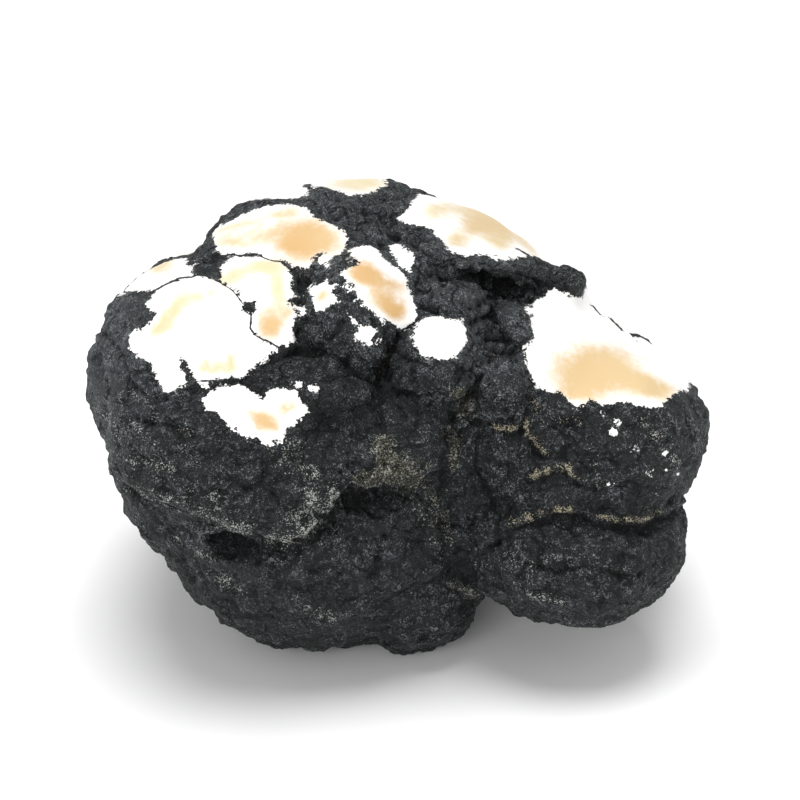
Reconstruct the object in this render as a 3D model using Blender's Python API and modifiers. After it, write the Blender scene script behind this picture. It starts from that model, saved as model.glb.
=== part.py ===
"""A howlite nodule, 89 mm wide, as one solid stone.

The stone is a cluster of grown lobes round a solid heart, with ledges where one lobe
overhangs the next and creases between them. The high spots of its lobes are ground to
low facets, and it rests on a small flat spot below.
Axes: +X is the stone's right as it is usually shown, +Y its back, +Z up. The origin is
under the middle of the stone, on the surface that it rests on.
"""
import math

import bmesh
import bpy
import numpy as np
from mathutils import Euler, Matrix, Vector, noise

MM = 0.001
STONE_NAME = "nodule"

# The lobes: centre and half sizes in millimetres, and turn about X, Y and Z in degrees.
LOBES = {
    "heart": ((0, 2.5, 31), (32, 28, 27), (0, 0, 0)),
    "belly": ((-11.8, -5.6, 25.9), (24.8, 27, 27.8), (0, 0, 0)),
    "front left bulge": ((-20, -18.2, 33.6), (20.4, 17, 12), (0, 12, 0)),
    "left shoulder": ((-29.2, -4.4, 39.2), (14.8, 20, 17), (0, 16, 0)),
    "left flank": ((-31.5, -5, 29), (10.2, 18, 15.6), (0, 0, 0)),
    "crown": ((-12, 5.8, 47.6), (18.6, 22, 15.2), (0, 0, 0)),
    "left brow": ((-17, -8.5, 44), (12, 15, 13), (0, 0, 0)),
    "back crown": ((-6, 19.5, 48.8), (17, 14, 11.2), (0, 0, 0)),
    "right crown plate": ((12.5, 4.5, 52.2), (16, 16.5, 5.4), (0, 31, 0)),
    "lip of the plate": ((18.8, -2.8, 52.4), (11, 8.5, 3), (8, 31, 0)),
    "brow": ((1, -4.5, 41), (22, 19, 17.3), (0, 0, 0)),
    "middle brow": ((-5.4, -10, 50.5), (8.8, 12.5, 9.4), (0, 0, 0)),
    "front knuckle": ((5.7, -15.2, 46.6), (6.5, 10.5, 7.2), (0, 0, 0)),
    "knob under the plate": ((8.6, -12.3, 53.2), (5.1, 6, 3.3), (0, 10, 0)),
    "small knob": ((16.6, -12.7, 49.8), (3.2, 6, 3.3), (0, 0, 0)),
    "cheek knob": ((14.5, -19.6, 44.2), (4, 6, 4.2), (0, 0, 0)),
    "ridge under the brow": ((-9, -20, 44.6), (8, 8, 4), (0, 15, 0)),
    "throat": ((4, -20.5, 38), (5, 8, 5.5), (0, 0, 0)),
    "crust in the valley": ((-0.3, -26, 36.3), (6.4, 4.3, 3.3), (0, 0, 0)),
    "spine": ((4.4, -20, 22.5), (4.4, 7, 9), (0, 0, 0)),
    "right shoulder": ((23.2, -9.5, 38.2), (19.5, 17, 10.5), (25, 40, 0)),
    "right upper bulge": ((26.2, -11, 32.6), (18.2, 17, 13.4), (0, -4, 0)),
    "right lower bulge": ((25, -14.4, 19.3), (17, 17, 13.2), (0, 6, 0)),
    "chin": ((2.4, -9.5, 12.5), (12.2, 15, 14.5), (0, 0, 0)),
    "back left haunch": ((-24, 17.5, 32), (19, 16, 17), (0, 0, 0)),
    "back right haunch": ((19, 17.5, 27), (19, 17, 15), (0, 0, 0)),
    "heel": ((-4, 21.5, 20), (18, 14, 15), (0, 0, 0)),
    "sole": ((0, 6, 13.6), (15.5, 14, 15), (0, 0, 0)),
    "right flank": ((31.5, 5.5, 25), (11, 15, 12), (0, 0, 0)),
    "back right crown": ((10, 21.5, 42), (13, 12, 9), (0, 0, 0)),
    "back ledge": ((-5, 25.5, 38.5), (18, 10.5, 5), (-8, 6, 0)),
    "back left knob": ((-31, 21, 42), (8, 9, 6.5), (0, -20, 0)),
    "back right knob": ((29, 20.5, 32), (8.5, 9, 6), (0, 15, 0)),
    "back left foot": ((-24, 21, 18), (11, 10, 9), (0, 0, 0)),
    "back right foot": ((22, 25, 17.5), (10, 8, 7.5), (0, 0, 0)),
    "left side ledge": ((-36, 7, 33), (7.5, 13, 5), (0, -14, 0)),
    "right side knuckle": ((35.5, 7, 33.5), (6.5, 9, 6), (0, 20, 0)),
    "right side ledge": ((37, 3, 21.5), (6.5, 9, 5.5), (0, 0, 0)),
}

# The rough rim of the crown plate is a row of grains from its left end to its lip.
RIM_START = (4.6, -8.3, 58)
RIM_MIDDLE = (14.4, -9.2, 57)
RIM_END = (25.3, -4.5, 52.4)
RIM_GRAINS = 13
RIM_GRAIN = 2.3

# Hollows under the ledges: centre, half sizes and turn, as for the lobes.
HOLLOWS = {
    "under the crown plate": ((15.1, -10.9, 54.5), (4.4, 3.7, 1.8), (0, 20, 0)),
    "under the front left bulge": ((-22.8, -29.8, 24.5), (4.4, 4, 2.8), (0, 0, 0)),
    "under the crust": ((-1.8, -31, 31.3), (4.8, 4.2, 2.4), (0, 0, 0)),
    "under the back ledge": ((-9, 36.5, 31.5), (6, 4.5, 3), (0, 0, 0)),
}

# Creases that no meeting of lobes makes: half width and depth, then the points of the run.
CREASES = {
    "between the middle brow and the knuckle": (
        1.3, 1.3, ((2.5, -18.5, 53), (0.5, -19.5, 51.5), (-0.5, -21, 49.5), (-2, -22, 47))),
    "over the knob": (
        1.3, 1.5, ((4.5, -10.5, 58), (8.8, -12.3, 57), (11.8, -11.8, 55.8))),
    "throat": (
        2.2, 1.4, ((-2, -22, 47), (-2.5, -23.5, 42), (-2, -25.5, 38.5))),
    "right valley": (
        1.6, 1.5, ((14, -13, 53), (13, -16.5, 50.5), (14, -18.5, 48.5), (11, -21.5, 46),
                   (9.5, -22.5, 42.5), (8, -25, 39), (7.5, -25, 33.5), (8, -25, 27),
                   (8.5, -25, 20.5), (11, -21, 13))),
    "front left ledge": (
        1.5, 1.2, ((-37.8, -19.4, 27.8), (-33.6, -26.4, 29), (-28.9, -31, 29.5), (-25.5, -32, 28.6),
                   (-19, -32, 25.6), (-15, -32.2, 24.8), (-11.5, -32.4, 26.5), (-8, -31.8, 30.3),
                   (-5.8, -31, 33.3))),
    "right ledge": (
        1.3, 1.3, ((14.3, -27.8, 24.6), (17, -28.3, 26.1), (20.3, -28.9, 27.4), (27.8, -29.2, 27),
                   (33.4, -27.6, 25.7), (37.2, -24.2, 25.5), (40, -18, 25.8))),
    "right cheek": (
        1.1, 0.8, ((13.5, -24.5, 39.5), (17, -25, 39.5), (19.5, -26, 37), (20.5, -27.5, 35),
                   (23.5, -28, 34), (25.5, -28.5, 33))),
    "crown": (
        0.8, 0.6, ((-27, -4, 56), (-24.5, -3.5, 57), (-18.5, -7.5, 58.5), (-13.5, -11, 57))),
    "left shoulder": (
        0.8, 0.6, ((-21.5, -14, 55), (-20, -17.5, 54), (-19.5, -20, 52), (-16, -21.5, 50.5))),
    "beside the middle brow": (
        1.6, 0.9, ((-13, -10, 58), (-13, -13.5, 55.5), (-12, -18, 52.5), (-12.5, -20.5, 50))),
    "back valley": (
        2.2, 1.8, ((6, 33, 52), (3, 35, 44), (6, 37, 36), (3, 36, 27), (7, 35, 18), (5, 30, 8))),
}

# Ground facets: centre and radius in millimetres.
FACETS = {
    "left shoulder, outer": ((-34, -5, 55), 7.5),
    "left shoulder": ((-26, -18, 51), 10),
    "left brow": ((-17, -16, 55), 6),
    "crown": ((-17, -4, 60.5), 10),
    "crown, back": ((-18, 12, 61), 8),
    "back crown": ((-6, 18, 60), 7),
    "middle brow": ((-2, -17, 57.5), 6),
    "knuckle": ((6, -22, 52), 4.5),
    "front left bulge": ((-18.5, -28, 44), 7.5),
    "crown plate": ((12, 4, 57.5), 10),
    "right shoulder": ((25, -16, 47.5), 11),
    "back left haunch": ((-29, 20, 46), 9),
    "back right crown": ((13, 27, 48), 6),
    "back right haunch": ((26, 20, 39), 8),
}
FACET_FLATNESS = 0.4

# Lumps all over the grown skin: their size across and their height.
LUMPS = (8.5, 1.1)
SMALL_LUMPS = (4.0, 0.45)
LUMP_BEND = 2.5
NOISE_SEED = 2

VOXEL = 0.8
LOBE_SUBDIVISIONS = 4
TRIANGLES = 9300
RESTING_CUT = 0.0
BLOCK_SIZE = 200.0

# The grown skin's charcoal, seen through a little dust.
STONE_COLOUR = (0.075, 0.08, 0.079, 1.0)
STONE_ROUGHNESS = 0.85


def clear_scene():
    for item in list(bpy.data.objects):
        bpy.data.objects.remove(item, do_unlink=True)


def new_collection(name):
    collection = bpy.data.collections.new(name)
    bpy.context.scene.collection.children.link(collection)
    return collection


def stone_material():
    material = bpy.data.materials.new("howlite")
    material.use_nodes = True
    shader = material.node_tree.nodes["Principled BSDF"]
    shader.inputs["Base Color"].default_value = STONE_COLOUR
    shader.inputs["Roughness"].default_value = STONE_ROUGHNESS
    shader.inputs["Metallic"].default_value = 0.0
    return material


def placement(centre, half, turn):
    """The matrix, in metres, that makes a unit ball into one lobe, grain or hollow."""
    turned = Euler([math.radians(angle) for angle in turn]).to_matrix().to_4x4()
    sized = Matrix.Diagonal((*half, 1.0))
    placed = Matrix.Translation(Vector(centre)) @ turned @ sized
    return Matrix.Scale(MM, 4) @ placed


def ball_object(name, shapes, collection):
    """One object of smooth balls, each stretched to its own shape."""
    bm = bmesh.new()
    for shape in shapes:
        bmesh.ops.create_icosphere(
            bm, subdivisions=LOBE_SUBDIVISIONS, radius=1.0, matrix=placement(*shape))
    mesh = bpy.data.meshes.new(name)
    bm.to_mesh(mesh)
    bm.free()
    ball = bpy.data.objects.new(name, mesh)
    collection.objects.link(ball)
    return ball


def rim_shapes():
    """Grains along the plate's rim, on a smooth bend through its three points."""
    start, middle, end = (Vector(point) for point in (RIM_START, RIM_MIDDLE, RIM_END))
    shapes = []
    for step in range(RIM_GRAINS):
        along = step / (RIM_GRAINS - 1)
        bend = 2 * middle - (start + end) / 2
        point = (1 - along) ** 2 * start + 2 * along * (1 - along) * bend + along ** 2 * end
        uneven = noise.noise_vector(Vector((step * 1.7, 0.3, 0.8)))
        size = RIM_GRAIN * (1 + 0.35 * uneven.x)
        shapes.append((point + uneven, (size, size * 1.2, size * 0.9), (0, 20, 0)))
    return shapes


def make_cutter(cutter):
    cutter.hide_render = True
    cutter.display_type = "WIRE"


def ground_block(collection):
    """A block whose top is the surface that the stone rests on."""
    bm = bmesh.new()
    low = Matrix.Translation(Vector((0, 0, (RESTING_CUT - BLOCK_SIZE / 2) * MM)))
    bmesh.ops.create_cube(bm, size=BLOCK_SIZE * MM, matrix=low)
    mesh = bpy.data.meshes.new("resting_cut")
    bm.to_mesh(mesh)
    bm.free()
    block = bpy.data.objects.new("resting_cut", mesh)
    collection.objects.link(block)
    make_cutter(block)
    return block


def add_remesh(stone, voxel):
    remesh = stone.modifiers.new("Remesh", "REMESH")
    remesh.mode = "VOXEL"
    remesh.voxel_size = voxel * MM
    remesh.adaptivity = 0.0


def add_smooth(stone, factor, iterations):
    smooth = stone.modifiers.new("Smooth", "SMOOTH")
    smooth.factor = factor
    smooth.iterations = iterations


def add_cut(stone, cutter):
    cut = stone.modifiers.new("Cut", "BOOLEAN")
    cut.operation = "DIFFERENCE"
    cut.solver = "EXACT"
    cut.object = cutter


def apply_modifiers(stone):
    """Keeps the shape that the modifiers give and clears them."""
    graph = bpy.context.evaluated_depsgraph_get()
    shaped = bpy.data.meshes.new_from_object(stone.evaluated_get(graph), depsgraph=graph)
    stone.modifiers.clear()
    stone.data = shaped


def points_and_normals(mesh):
    """Each vertex and its normal, in millimetres."""
    points = np.empty(len(mesh.vertices) * 3)
    normals = np.empty(len(mesh.vertices) * 3)
    mesh.vertices.foreach_get("co", points)
    mesh.vertices.foreach_get("normal", normals)
    return points.reshape(-1, 3) / MM, normals.reshape(-1, 3)


def set_points(mesh, points):
    mesh.vertices.foreach_set("co", (points * MM).ravel())
    mesh.update()


def fade(distance, reach):
    """1 at no distance, falling smoothly to 0 at the reach."""
    share = np.clip(1 - distance / reach, 0, 1)
    return share * share * (3 - 2 * share)


def distance_to_run(points, run):
    """How far each point is from a run of straight stretches."""
    run = np.array(run, float)
    nearest = np.full(len(points), np.inf)
    for start, end in zip(run[:-1], run[1:]):
        along = end - start
        share = np.clip((points - start) @ along / (along @ along), 0, 1)
        gap = np.linalg.norm(points - start - share[:, None] * along, axis=1)
        nearest = np.minimum(nearest, gap)
    return nearest


def lump_height(points, size, height):
    """Rounded lumps that meet in creases, like the skin of a cauliflower."""
    heights = np.empty(len(points))
    for index, point in enumerate(points):
        place = Vector(point) / size
        bent = place + noise.noise_vector(place * 0.9) * (LUMP_BEND / size)
        distances = noise.voronoi(bent)[0]
        crease = min((distances[1] - distances[0]) / 0.45, 1.0)
        heights[index] = height * (math.sqrt(crease * (2 - crease)) - 0.8)
    return heights


def facet_share(points):
    """1 in the middle of a ground facet, 0 outside all of them."""
    share = np.zeros(len(points))
    for centre, radius in FACETS.values():
        gap = np.linalg.norm(points - np.array(centre, float), axis=1)
        share = np.maximum(share, fade(gap - radius * 0.6, radius * 0.55))
    return share


def grow_skin(mesh):
    """Lumps and creases on the grown skin, none of them on the ground facets."""
    points, normals = points_and_normals(mesh)
    moves = lump_height(points, *LUMPS) + lump_height(points, *SMALL_LUMPS)
    moves *= 1 - facet_share(points)
    for half_width, depth, run in CREASES.values():
        moves -= depth * fade(distance_to_run(points, run), half_width)
    set_points(mesh, points + normals * moves[:, None])


def grind_facets(mesh):
    """Presses each facet's high middle towards a plane, as grinding leaves it."""
    points, normals = points_and_normals(mesh)
    for centre, radius in FACETS.values():
        gap = np.linalg.norm(points - np.array(centre, float), axis=1)
        inside = gap < radius
        facing = normals[inside].mean(axis=0)
        facing /= np.linalg.norm(facing)
        height = points[inside] @ facing
        plane = np.percentile(height, 40)
        pressed = np.clip(height - plane, 0, None) * FACET_FLATNESS
        pressed *= fade(gap[inside] - radius * 0.7, radius * 0.3)
        points[inside] -= pressed[:, None] * facing
    set_points(mesh, points)


def triangle_count(mesh):
    return sum(len(polygon.vertices) - 2 for polygon in mesh.polygons)


def stand_on_origin(mesh):
    """Puts the middle of the stone's box over the origin and its flat spot at Z 0."""
    points, _ = points_and_normals(mesh)
    low, high = points.min(axis=0), points.max(axis=0)
    points -= np.array([(low[0] + high[0]) / 2, (low[1] + high[1]) / 2, low[2]])
    set_points(mesh, points)


def build_stone():
    noise.seed_set(NOISE_SEED)
    stones = new_collection("howlite nodule")
    cutters = new_collection("cutters")
    stone = ball_object(STONE_NAME, list(LOBES.values()) + rim_shapes(), stones)
    hollows = ball_object("hollows", list(HOLLOWS.values()), cutters)
    make_cutter(hollows)

    add_remesh(stone, VOXEL)
    add_cut(stone, hollows)
    add_remesh(stone, VOXEL)
    add_smooth(stone, 0.5, 3)
    apply_modifiers(stone)

    grow_skin(stone.data)
    grind_facets(stone.data)

    add_remesh(stone, VOXEL)
    add_smooth(stone, 0.5, 1)
    apply_modifiers(stone)

    thin = stone.modifiers.new("Decimate", "DECIMATE")
    thin.ratio = TRIANGLES / triangle_count(stone.data)
    add_cut(stone, ground_block(cutters))
    apply_modifiers(stone)

    stand_on_origin(stone.data)
    stone.data.materials.clear()
    stone.data.materials.append(stone_material())
    stone.data.shade_smooth()
    stone.data.set_sharp_from_angle(angle=math.radians(60))
    return stone


clear_scene()
build_stone()
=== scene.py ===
"""The look of a howlite nodule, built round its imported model.

Laid out as a Blender add-on and run as a script. One operator makes the stone's finished
surface and one the studio that it stands in. Shapes are worked out in millimetres.
"""
import math

import bpy
import numpy as np
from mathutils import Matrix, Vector, noise
from mathutils.bvhtree import BVHTree


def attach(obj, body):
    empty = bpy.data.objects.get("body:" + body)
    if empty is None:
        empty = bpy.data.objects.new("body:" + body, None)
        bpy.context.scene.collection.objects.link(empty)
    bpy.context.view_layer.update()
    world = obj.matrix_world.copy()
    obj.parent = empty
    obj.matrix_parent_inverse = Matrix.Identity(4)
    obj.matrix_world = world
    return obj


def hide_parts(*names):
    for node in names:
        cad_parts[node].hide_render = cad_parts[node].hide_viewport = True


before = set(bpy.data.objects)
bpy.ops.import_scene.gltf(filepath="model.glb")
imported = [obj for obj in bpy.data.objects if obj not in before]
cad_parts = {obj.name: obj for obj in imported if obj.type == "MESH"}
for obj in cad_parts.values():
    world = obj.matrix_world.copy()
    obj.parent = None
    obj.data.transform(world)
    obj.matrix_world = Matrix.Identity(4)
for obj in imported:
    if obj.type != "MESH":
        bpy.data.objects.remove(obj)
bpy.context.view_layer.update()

bl_info = {
    "name": "Howlite Nodule",
    "version": (1, 0, 0),
    "blender": (4, 5, 0),
    "location": "3D View > Sidebar > Howlite",
    "description": "Finishes a howlite nodule: charcoal grown skin with ground white windows",
    "category": "Object",
}

MM = 0.001
NOISE_SEED = 5
NODE = "nodule"
BODY = "root"

# The photograph's view: its side in pixels, the size of a pixel at the stone, and where the
# camera stands. Outlines below are read in its pixels.
PHOTO_SIDE = 800
PIXEL_MM = 0.1456
VIEW_ELEVATION = math.radians(24)
VIEW_DISTANCE_MM = 323.6
VIEW_TARGET_MM = (0.6, -2.5, 34.0)
VIEW_LENS_MM = 100.0
VIEW_SENSOR_MM = 36.0

# Windows ground through the skin, seen in the photograph: outline in pixels, then the ball,
# in millimetres, that a window's hidden far side ends on.
FRONT_WINDOWS = {
    "left shoulder, outer": (
        ((110, 296), (106, 283), (118, 270), (134, 259), (150, 251), (166, 245), (178, 248),
         (182, 258), (196, 262), (190, 276), (168, 283), (152, 291), (132, 291)),
         (-34, -12, 54), 8.2),
    "crown": (
        ((213, 232), (222, 225), (244, 214), (272, 204), (299, 206), (320, 219), (347, 234),
         (343, 252), (330, 256), (318, 254), (311, 264), (298, 267), (284, 261), (262, 255),
         (240, 255), (222, 254), (216, 246)), (-16, -5, 60), 16),
    "left brow": (
        ((220, 277), (220, 266), (228, 260), (244, 256), (262, 257), (280, 262), (292, 277),
         (291, 290), (299, 296), (288, 301), (297, 318), (291, 328), (296, 342), (281, 346),
         (262, 339), (251, 326), (251, 312), (256, 304), (243, 299), (234, 290)),
         (-18, -16, 55), 14),
    "left shoulder": (
        ((145, 304), (155, 292), (178, 280), (202, 277), (222, 283), (238, 295), (249, 312),
         (250, 328), (262, 340), (277, 346), (268, 358), (252, 367), (243, 378), (205, 380),
         (192, 376), (187, 366), (180, 358), (179, 366), (185, 376), (186, 384), (168, 391),
         (155, 381), (151, 364), (131, 354), (131, 334), (146, 327), (152, 314)),
         (-27, -17, 50), 17),
    "middle brow": (
        ((342, 273), (357, 262), (348, 251), (362, 245), (376, 249), (385, 259), (399, 270),
         (409, 285), (412, 300), (417, 313), (409, 324), (401, 328), (386, 320), (368, 309),
         (358, 296), (353, 283)), (-2, -16, 57), 12),
    "beside the middle brow": (
        ((389, 247), (400, 245), (413, 253), (414, 268), (403, 270), (397, 262)),
         (0.6, -8, 58), 5),
    "between the brows": (
        ((307, 291), (314, 285), (321, 285), (326, 279), (331, 284), (334, 294), (341, 301),
         (331, 306), (322, 312), (312, 306), (312, 297)), (-10, -18, 56), 6),
    "below the middle brow": (
        ((347, 309), (354, 322), (366, 324), (381, 332), (378, 343), (370, 344), (355, 339),
         (358, 330)), (-4, -22, 53), 6),
    "front knuckle": (
        ((410, 334), (419, 323), (428, 316), (446, 319), (463, 319), (467, 336), (462, 351),
         (455, 358), (437, 361), (425, 358), (415, 346)), (6, -22, 52), 9),
    "front left bulge": (
        ((203, 400), (212, 390), (232, 385), (247, 388), (258, 395), (268, 389), (290, 388),
         (300, 398), (308, 411), (297, 422), (284, 431), (283, 442), (266, 445), (252, 438),
         (238, 436), (224, 421), (218, 413), (206, 410)), (-18, -27, 44), 13),
    "crown plate": (
        ((397, 218), (409, 208), (418, 193), (440, 160), (500, 180), (536, 230), (553, 262),
         (536, 257), (521, 257), (500, 261), (484, 254), (462, 257), (446, 247), (434, 231),
         (413, 224)), (12, 2, 58), 15.5),
    "right shoulder": (
        ((535, 303), (543, 295), (551, 290), (565, 291), (579, 299), (600, 280), (670, 330),
         (690, 384), (672, 395), (666, 403), (655, 408), (636, 405), (629, 402), (608, 406),
         (592, 403), (580, 409), (571, 405), (562, 394), (545, 390), (531, 378), (525, 358),
         (524, 346), (533, 340), (531, 322), (531, 312)), (27, -14, 46.5), 17.5),
    "crown, back": (
        ((226, 206), (232, 185), (262, 160), (300, 160), (306, 178), (303, 187), (310, 194),
         (298, 198), (270, 198), (244, 201)), (-18, 13, 61), 10),
    "back crown": (
        ((311, 185), (320, 160), (390, 160), (384, 178), (386, 184), (370, 193), (355, 195),
         (340, 191), (322, 187)), (-6.5, 18, 60.5), 10),
}

# How much smaller a window is where something hides it in the photograph, in millimetres.
HIDDEN_MARGIN = 2.5

# Small windows: place in pixels and radius in millimetres.
SMALL_WINDOWS = (
    (297, 384, 0.75), (313, 388, 0.6), (325, 259, 0.95), (335, 287, 0.4), (346, 287, 0.45),
    (353, 291, 0.35), (356, 302, 0.5), (303, 311, 0.5), (288, 306, 0.9), (181, 386, 0.6),
    (204, 383, 0.5), (137, 340, 0.7), (383, 321, 0.45), (527, 310, 0.55), (349, 262, 0.35),
    (305, 414, 0.4), (254, 366, 0.5), (614, 432, 0.42), (617, 423, 0.42), (630, 450, 0.38),
    (636, 449, 0.3), (651, 473, 0.38), (664, 455, 0.3), (667, 470, 0.36), (678, 474, 0.3),
    (611, 485, 0.3), (602, 414, 0.25),
)
# Bits of skin left inside the windows, in the same way.
SKIN_ISLANDS = (
    (249, 306, 0.9), (182, 361, 0.35), (188, 372, 0.35), (152, 314, 0.6), (262, 394, 0.5),
    (190, 262, 0.5), (593, 402, 0.5), (243, 437, 0.5), (538, 285, 0.9),
)

# Windows that the photograph doesn't show: middle and radius in millimetres.
BACK_WINDOWS = {
    "back left haunch": ((-30, 22, 47), 9.5),
    "back left knob": ((-35, 24, 39), 5),
    "back right crown": ((14, 28, 48.5), 7.5),
    "back right haunch": ((27, 25, 37), 7),
    "back ledge": ((-8, 33, 44), 6),
    "right knuckle": ((40, 8, 37), 5),
    "left ledge": ((-43, 9, 36), 5),
}

# Warm tan middles of the windows: place in pixels, half width, half height and turn, then
# how strong and how orange they are.
TAN_SPOTS = (
    (302, 242, 25, 18, 0, 1.0, 1.0), (262, 234, 28, 8, -5, 0.55, 0.5),
    (326, 240, 16, 10, 15, 0.7, 0.6), (283, 213, 16, 5, -10, 0.75, 0.4),
    (235, 243, 20, 5, 0, 0.7, 0.35), (236, 226, 20, 4, -15, 0.6, 0.3),
    (306, 226, 16, 8, 0, 0.5, 0.8), (365, 273, 16, 11, 20, 1.0, 1.0),
    (388, 285, 18, 7, 15, 0.8, 0.9), (393, 307, 13, 10, 35, 1.0, 1.0),
    (378, 300, 12, 8, 30, 0.6, 0.8), (271, 324, 13, 13, 30, 0.95, 0.9),
    (288, 309, 6, 9, 0, 0.7, 0.8), (262, 267, 18, 7, 5, 0.85, 0.1),
    (232, 277, 15, 7, -10, 0.8, 0.1), (277, 288, 8, 16, 0, 0.85, 0.1),
    (163, 326, 14, 7, -35, 0.95, 0.3), (176, 308, 18, 7, -50, 0.85, 0.25),
    (200, 297, 18, 6, -15, 0.75, 0.15), (205, 366, 8, 8, 0, 0.85, 0.2),
    (231, 363, 6, 9, 0, 0.9, 0.25), (217, 369, 12, 5, 0, 0.8, 0.2),
    (162, 266, 12, 7, -15, 0.85, 0.25), (130, 276, 12, 6, -35, 0.7, 0.2),
    (263, 420, 12, 9, 30, 1.0, 0.9), (270, 431, 8, 9, 0, 0.9, 0.9),
    (287, 407, 10, 6, -20, 0.85, 0.5), (588, 372, 33, 22, 0, 1.0, 0.7),
    (612, 360, 28, 12, 10, 0.5, 0.5), (586, 392, 22, 8, 0, 0.7, 0.7),
    (650, 388, 24, 10, 12, 0.95, 0.6), (625, 376, 20, 10, 20, 0.75, 0.6),
    (462, 208, 20, 7, 5, 0.55, 0.3), (494, 224, 24, 10, 28, 1.0, 0.6),
    (528, 247, 14, 4, 42, 0.6, 0.5), (474, 226, 14, 9, 0, 0.8, 0.6),
    (498, 241, 12, 7, 20, 0.8, 0.4), (458, 240, 12, 7, 0, 0.8, 0.4),
    (434, 212, 12, 8, 0, 0.7, 0.2), (358, 183, 28, 8, 0, 0.8, 0.1),
    (322, 296, 6, 5, -30, 0.8, 0.4),
)
TAN_SPREAD = 1.2

# Thin dark cracks, in pixels, with their half width in millimetres.
CRACKS = (
    (0.12, ((124, 292), (140, 294), (152, 292), (168, 283), (180, 278), (192, 277), (204, 272))),
    (0.07, ((216, 280), (224, 285), (232, 290), (238, 297), (243, 304))),
    (0.11, ((251, 311), (251, 322), (250, 328), (255, 335), (262, 339), (270, 342), (279, 348))),
    (0.13, ((214, 256), (224, 256), (232, 254), (240, 256), (252, 254), (258, 254))),
    (0.08, ((258, 254), (264, 258), (273, 261), (281, 261), (286, 266), (294, 273))),
    (0.12, ((200, 381), (214, 381), (228, 380), (240, 381), (252, 378))),
    (0.1, ((593, 306), (600, 314))),
    (0.12, ((611, 319), (617, 325), (622, 330))),
    (0.12, ((518, 249), (527, 254), (536, 261))),
    (0.14, ((535, 238), (546, 251), (556, 262))),
    (0.13, ((417, 321), (409, 327), (400, 331), (395, 345), (386, 361), (379, 379))),
)

# Deep creases of the skin, in pixels, with their half width and depth in millimetres.
CREASES = (
    (0.7, 0.6, ((415, 322), (400, 332), (395, 345), (386, 361), (379, 380))),
    (0.8, 0.4, ((379, 380), (382, 400), (384, 425))),
    (0.8, 0.6, ((496, 300), (491, 318), (492, 336), (498, 352), (486, 368), (474, 388),
                (462, 404))),
    (0.9, 0.35, ((458, 404), (449, 438), (446, 468), (443, 492), (441, 522), (448, 560),
                 (462, 596), (476, 626))),
    (0.9, 0.6, ((484, 325), (490, 340), (500, 350), (512, 352), (522, 345))),
    (1.0, 0.9, ((164, 396), (182, 394), (200, 386), (222, 382), (244, 380), (262, 366), (282, 356),
                (300, 350), (322, 352))),
    (0.9, 0.9, ((296, 268), (303, 280), (300, 300), (304, 320), (298, 340))),
    (0.9, 0.9, ((345, 268), (340, 285), (348, 300), (345, 318), (336, 332), (322, 346))),
    (0.8, 0.8, ((352, 208), (372, 212), (385, 222), (392, 236), (410, 244), (430, 256))),
    (0.8, 0.8, ((315, 200), (322, 212), (340, 214), (356, 208))),
    (0.8, 0.7, ((462, 404), (470, 420), (480, 426))),
    (0.7, 0.7, ((532, 400), (526, 416), (520, 428))),
    (0.7, 0.6, ((322, 352), (345, 362), (362, 380), (380, 384))),
    (0.7, 0.5, ((480, 426), (476, 460), (486, 490), (500, 520))),
    (0.8, 0.6, ((100, 330), (118, 350), (126, 380), (150, 400), (164, 396))),
    (0.8, 0.6, ((352, 484), (350, 510), (338, 536))),
    (0.9, 0.7, ((258, 536), (261, 548), (258, 562))),
    (0.7, 0.5, ((575, 486), (600, 492), (630, 484), (655, 490))),
    (0.7, 0.5, ((520, 560), (556, 572), (590, 566), (630, 578))),
)

# Ledges, whose lip stands out over a drop: lip, drop and reach in millimetres, then the lip's
# run in pixels, with the drop on its right hand.
LEDGES = (
    (0.4, 0.55, 3.0, ((118, 478), (150, 497), (180, 508), (205, 518), (228, 529), (255, 534),
                      (285, 544), (303, 538), (318, 522), (335, 504), (352, 488))),
    (0.4, 0.9, 2.2, ((500, 535), (512, 524), (530, 519), (550, 512), (572, 512), (600, 519),
                     (620, 523), (645, 524), (660, 515), (680, 505), (700, 500))),
    (0.5, 0.7, 1.6, ((528, 478), (545, 474), (553, 469), (566, 470), (573, 478), (588, 483))),
    (0.4, 0.7, 1.6, ((495, 429), (512, 431), (523, 427), (530, 437), (540, 448), (549, 458))),
    (0.3, 0.6, 2.8, ((348, 484), (365, 490), (385, 486), (405, 486), (425, 484))),
    (0.4, 0.8, 1.4, ((425, 300), (440, 308), (455, 315), (470, 320), (486, 314))),
    (0.3, 0.8, 1.4, ((432, 270), (446, 274), (462, 280), (482, 283))),
    (0.3, 0.6, 1.2, ((438, 247), (452, 254), (466, 258), (484, 257))),
    (0.2, 1.6, 3.2, ((470, 270), (484, 273), (500, 272), (516, 273), (532, 276), (546, 281),
                     (562, 290))),
    (0.3, 0.6, 1.3, ((503, 300), (514, 306), (526, 300))),
    (0.3, 0.6, 1.4, ((498, 336), (508, 346), (522, 344), (532, 338))),
    (0.3, 0.5, 1.5, ((450, 582), (464, 590), (480, 602))),
    (0.3, 0.5, 1.4, ((124, 408), (150, 420), (176, 422), (204, 436))),
    (0.3, 0.5, 1.6, ((146, 556), (176, 572), (196, 596), (226, 612))),
    (0.3, 0.5, 1.4, ((556, 424), (566, 420), (580, 426), (592, 420))),
    (0.3, 0.5, 1.5, ((290, 452), (272, 466), (262, 486), (240, 496))),
    (0.3, 0.6, 1.5, ((388, 395), (402, 388), (420, 392), (438, 400))),
)

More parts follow.
